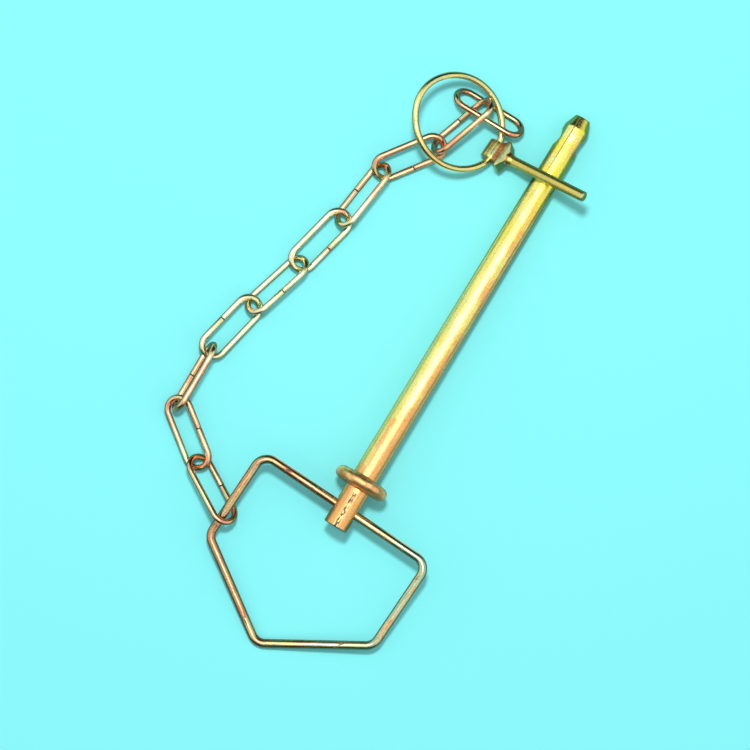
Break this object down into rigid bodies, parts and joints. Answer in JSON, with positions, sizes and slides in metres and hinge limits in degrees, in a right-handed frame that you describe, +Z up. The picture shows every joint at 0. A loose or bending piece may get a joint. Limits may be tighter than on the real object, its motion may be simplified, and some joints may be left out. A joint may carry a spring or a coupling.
{
  "type": "hitch pin with lynch pin",
  "caption": "Drawbar pin with a collar and a swinging wire handle; a chain ties on the lynch pin whose stem locks through the shaft's tip.",
  "frame": {"origin": "centre of the collar's bearing face, on the shaft's axis, with the set lying flat as it comes to rest", "axes": "+X to the shaft's tip (the shaft dips 2.2 degrees below +X), +Y to the side where the chain lies, +Z up from the surface the set lies on"},
  "size_m": [0.2921, 0.1485, 0.0278],
  "materials": {
    "plated_shaft": "iridescent yellow zinc plating on steel, semi-bright",
    "plated_handle_wire": "iridescent yellow zinc plating on steel, semi-bright",
    "plated_chain_wire": "iridescent yellow zinc plating on steel, semi-bright",
    "plated_ring_wire": "iridescent yellow zinc plating on steel, semi-bright",
    "plated_lynch_pin": "iridescent yellow zinc plating on steel, semi-bright"
  },
  "bodies": {
    "shaft": {"shaft": "plated_shaft"},
    "handle": {"handle": "plated_handle_wire"},
    "link_01": {"link_01": "plated_chain_wire"},
    "link_02": {"link_02": "plated_chain_wire"},
    "link_03": {"link_03": "plated_chain_wire"},
    "link_04": {"link_04": "plated_chain_wire"},
    "link_05": {"link_05": "plated_chain_wire"},
    "link_06": {"link_06": "plated_chain_wire"},
    "link_07": {"link_07": "plated_chain_wire"},
    "link_08": {"link_08": "plated_chain_wire"},
    "link_09": {"link_09": "plated_chain_wire"},
    "link_10": {"link_10": "plated_chain_wire"},
    "ring": {"ring": "plated_ring_wire"},
    "lynch_pin": {"lynch_pin": "plated_lynch_pin"}
  },
  "joints": [
    {"name": "handle_swing", "type": "hinge", "parent": "shaft", "child": "handle", "pos_m": [-0.01749, 0, 0.00067], "axis": [-0.0454, -0.999, 0], "range_deg": [0, 160]},
    {"name": "link_01_swing", "type": "hinge", "parent": "handle", "child": "link_01", "pos_m": [-0.04832, 0.04795, -0.00461], "axis": [0, 0, 1], "range_deg": [0, 20]},
    {"name": "link_02_swing", "type": "hinge", "parent": "link_01", "child": "link_02", "pos_m": [-0.03336, 0.0734, -0.00886], "axis": [0, 0, 1], "range_deg": [0, 20]},
    {"name": "link_03_swing", "type": "hinge", "parent": "link_02", "child": "link_03", "pos_m": [-0.01465, 0.09601, -0.00725], "axis": [-0.7264, 0.5765, -0.3741], "range_deg": [-25, 0]},
    {"name": "link_04_swing", "type": "hinge", "parent": "link_03", "child": "link_04", "pos_m": [0.01634, 0.09331, -0.00627], "axis": [0, 0, 1], "range_deg": [0, 50]},
    {"name": "link_05_swing", "type": "hinge", "parent": "link_04", "child": "link_05", "pos_m": [0.04489, 0.08705, -0.00915], "axis": [0.219, 0.931, 0.2919], "range_deg": [-42, 0]},
    {"name": "link_06_swing", "type": "hinge", "parent": "link_05", "child": "link_06", "pos_m": [0.07268, 0.07766, -0.00794], "axis": [0, 0, 1], "range_deg": [0, 50]},
    {"name": "link_07_swing", "type": "hinge", "parent": "link_06", "child": "link_07", "pos_m": [0.10153, 0.07213, -0.00848], "axis": [0.2126, 0.9324, 0.2924], "range_deg": [-50, 0]},
    {"name": "link_08_swing", "type": "hinge", "parent": "link_07", "child": "link_08", "pos_m": [0.13054, 0.06785, -0.00758], "axis": [0, 0, 1], "range_deg": [0, 50]},
    {"name": "link_09_swing", "type": "hinge", "parent": "link_08", "child": "link_09", "pos_m": [0.15399, 0.0503, -0.00795], "axis": [0.5446, 0.7583, 0.3583], "range_deg": [-45, 0]},
    {"name": "link_10_swing", "type": "hinge", "parent": "link_09", "child": "link_10", "pos_m": [0.17327, 0.04295, -0.0032], "axis": [0.0052, 1, 0], "range_deg": [0, 35]},
    {"name": "ring_turn", "type": "hinge", "parent": "link_10", "child": "ring", "pos_m": [0.1627, 0.04917, 0.00093], "axis": [0.1749, -0.3875, 0.9051], "range_deg": [-55, 0]},
    {"name": "lynch_pin_swing", "type": "hinge", "parent": "ring", "child": "lynch_pin", "pos_m": [0.16271, 0.028, -0.00813], "axis": [-0.9771, 0.0447, 0.2079], "range_deg": [0, 105]}
  ]
}
